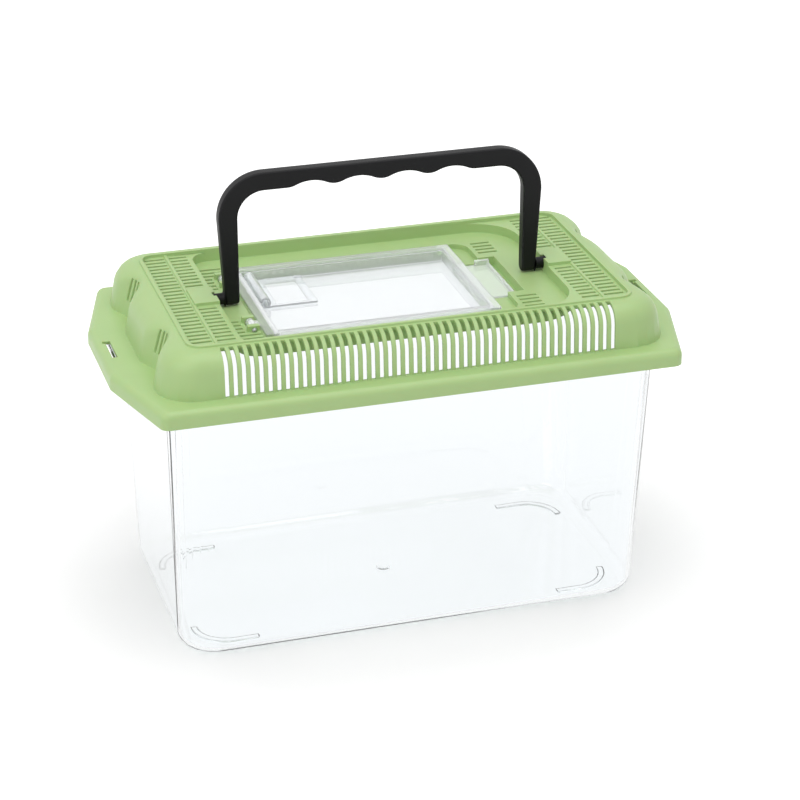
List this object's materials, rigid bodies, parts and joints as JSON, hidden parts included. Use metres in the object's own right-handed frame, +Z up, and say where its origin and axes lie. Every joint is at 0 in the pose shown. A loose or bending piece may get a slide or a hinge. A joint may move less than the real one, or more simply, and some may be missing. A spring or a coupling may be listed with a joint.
{
  "type": "pet keeper",
  "caption": "Clear tapered pet tank with a slotted lift-off lid, a trap door with a feeding flap, and a folding carrying handle.",
  "frame": {"origin": "middle of the footprint, on the surface that the feet stand on", "axes": "+Z up; X along the length, with the trap door's hinge towards -X; the front long side faces -Y"},
  "size_m": [0.3, 0.17, 0.2383],
  "materials": {
    "clear_tank": "clear gloss",
    "clear_door": "clear gloss",
    "lid_plastic": "satin",
    "handle_plastic": "satin"
  },
  "bodies": {
    "tank": {"tank": "clear_tank"},
    "lid": {"lid": "lid_plastic"},
    "trap_door": {"trap_door": "clear_door"},
    "feeding_flap": {"feeding_flap": "clear_door"},
    "handle": {"handle": "handle_plastic"}
  },
  "joints": [
    {"name": "lid_lift", "type": "slide", "parent": "tank", "child": "lid", "axis": [0, 0, 1], "range_m": [0, 0.06]},
    {"name": "trap_door_hinge", "type": "hinge", "parent": "lid", "child": "trap_door", "pos_m": [-0.077, 0, 0.1682], "axis": [0, -1, 0], "range_deg": [0, 25]},
    {"name": "feeding_flap_hinge", "type": "hinge", "parent": "trap_door", "child": "feeding_flap", "pos_m": [-0.0614, 0, 0.1648], "axis": [0, -1, 0], "range_deg": [0, 85]},
    {"name": "handle_hinge", "type": "hinge", "parent": "lid", "child": "handle", "pos_m": [0, 0, 0.1715], "axis": [1, 0, 0], "range_deg": [-82, 82]}
  ]
}
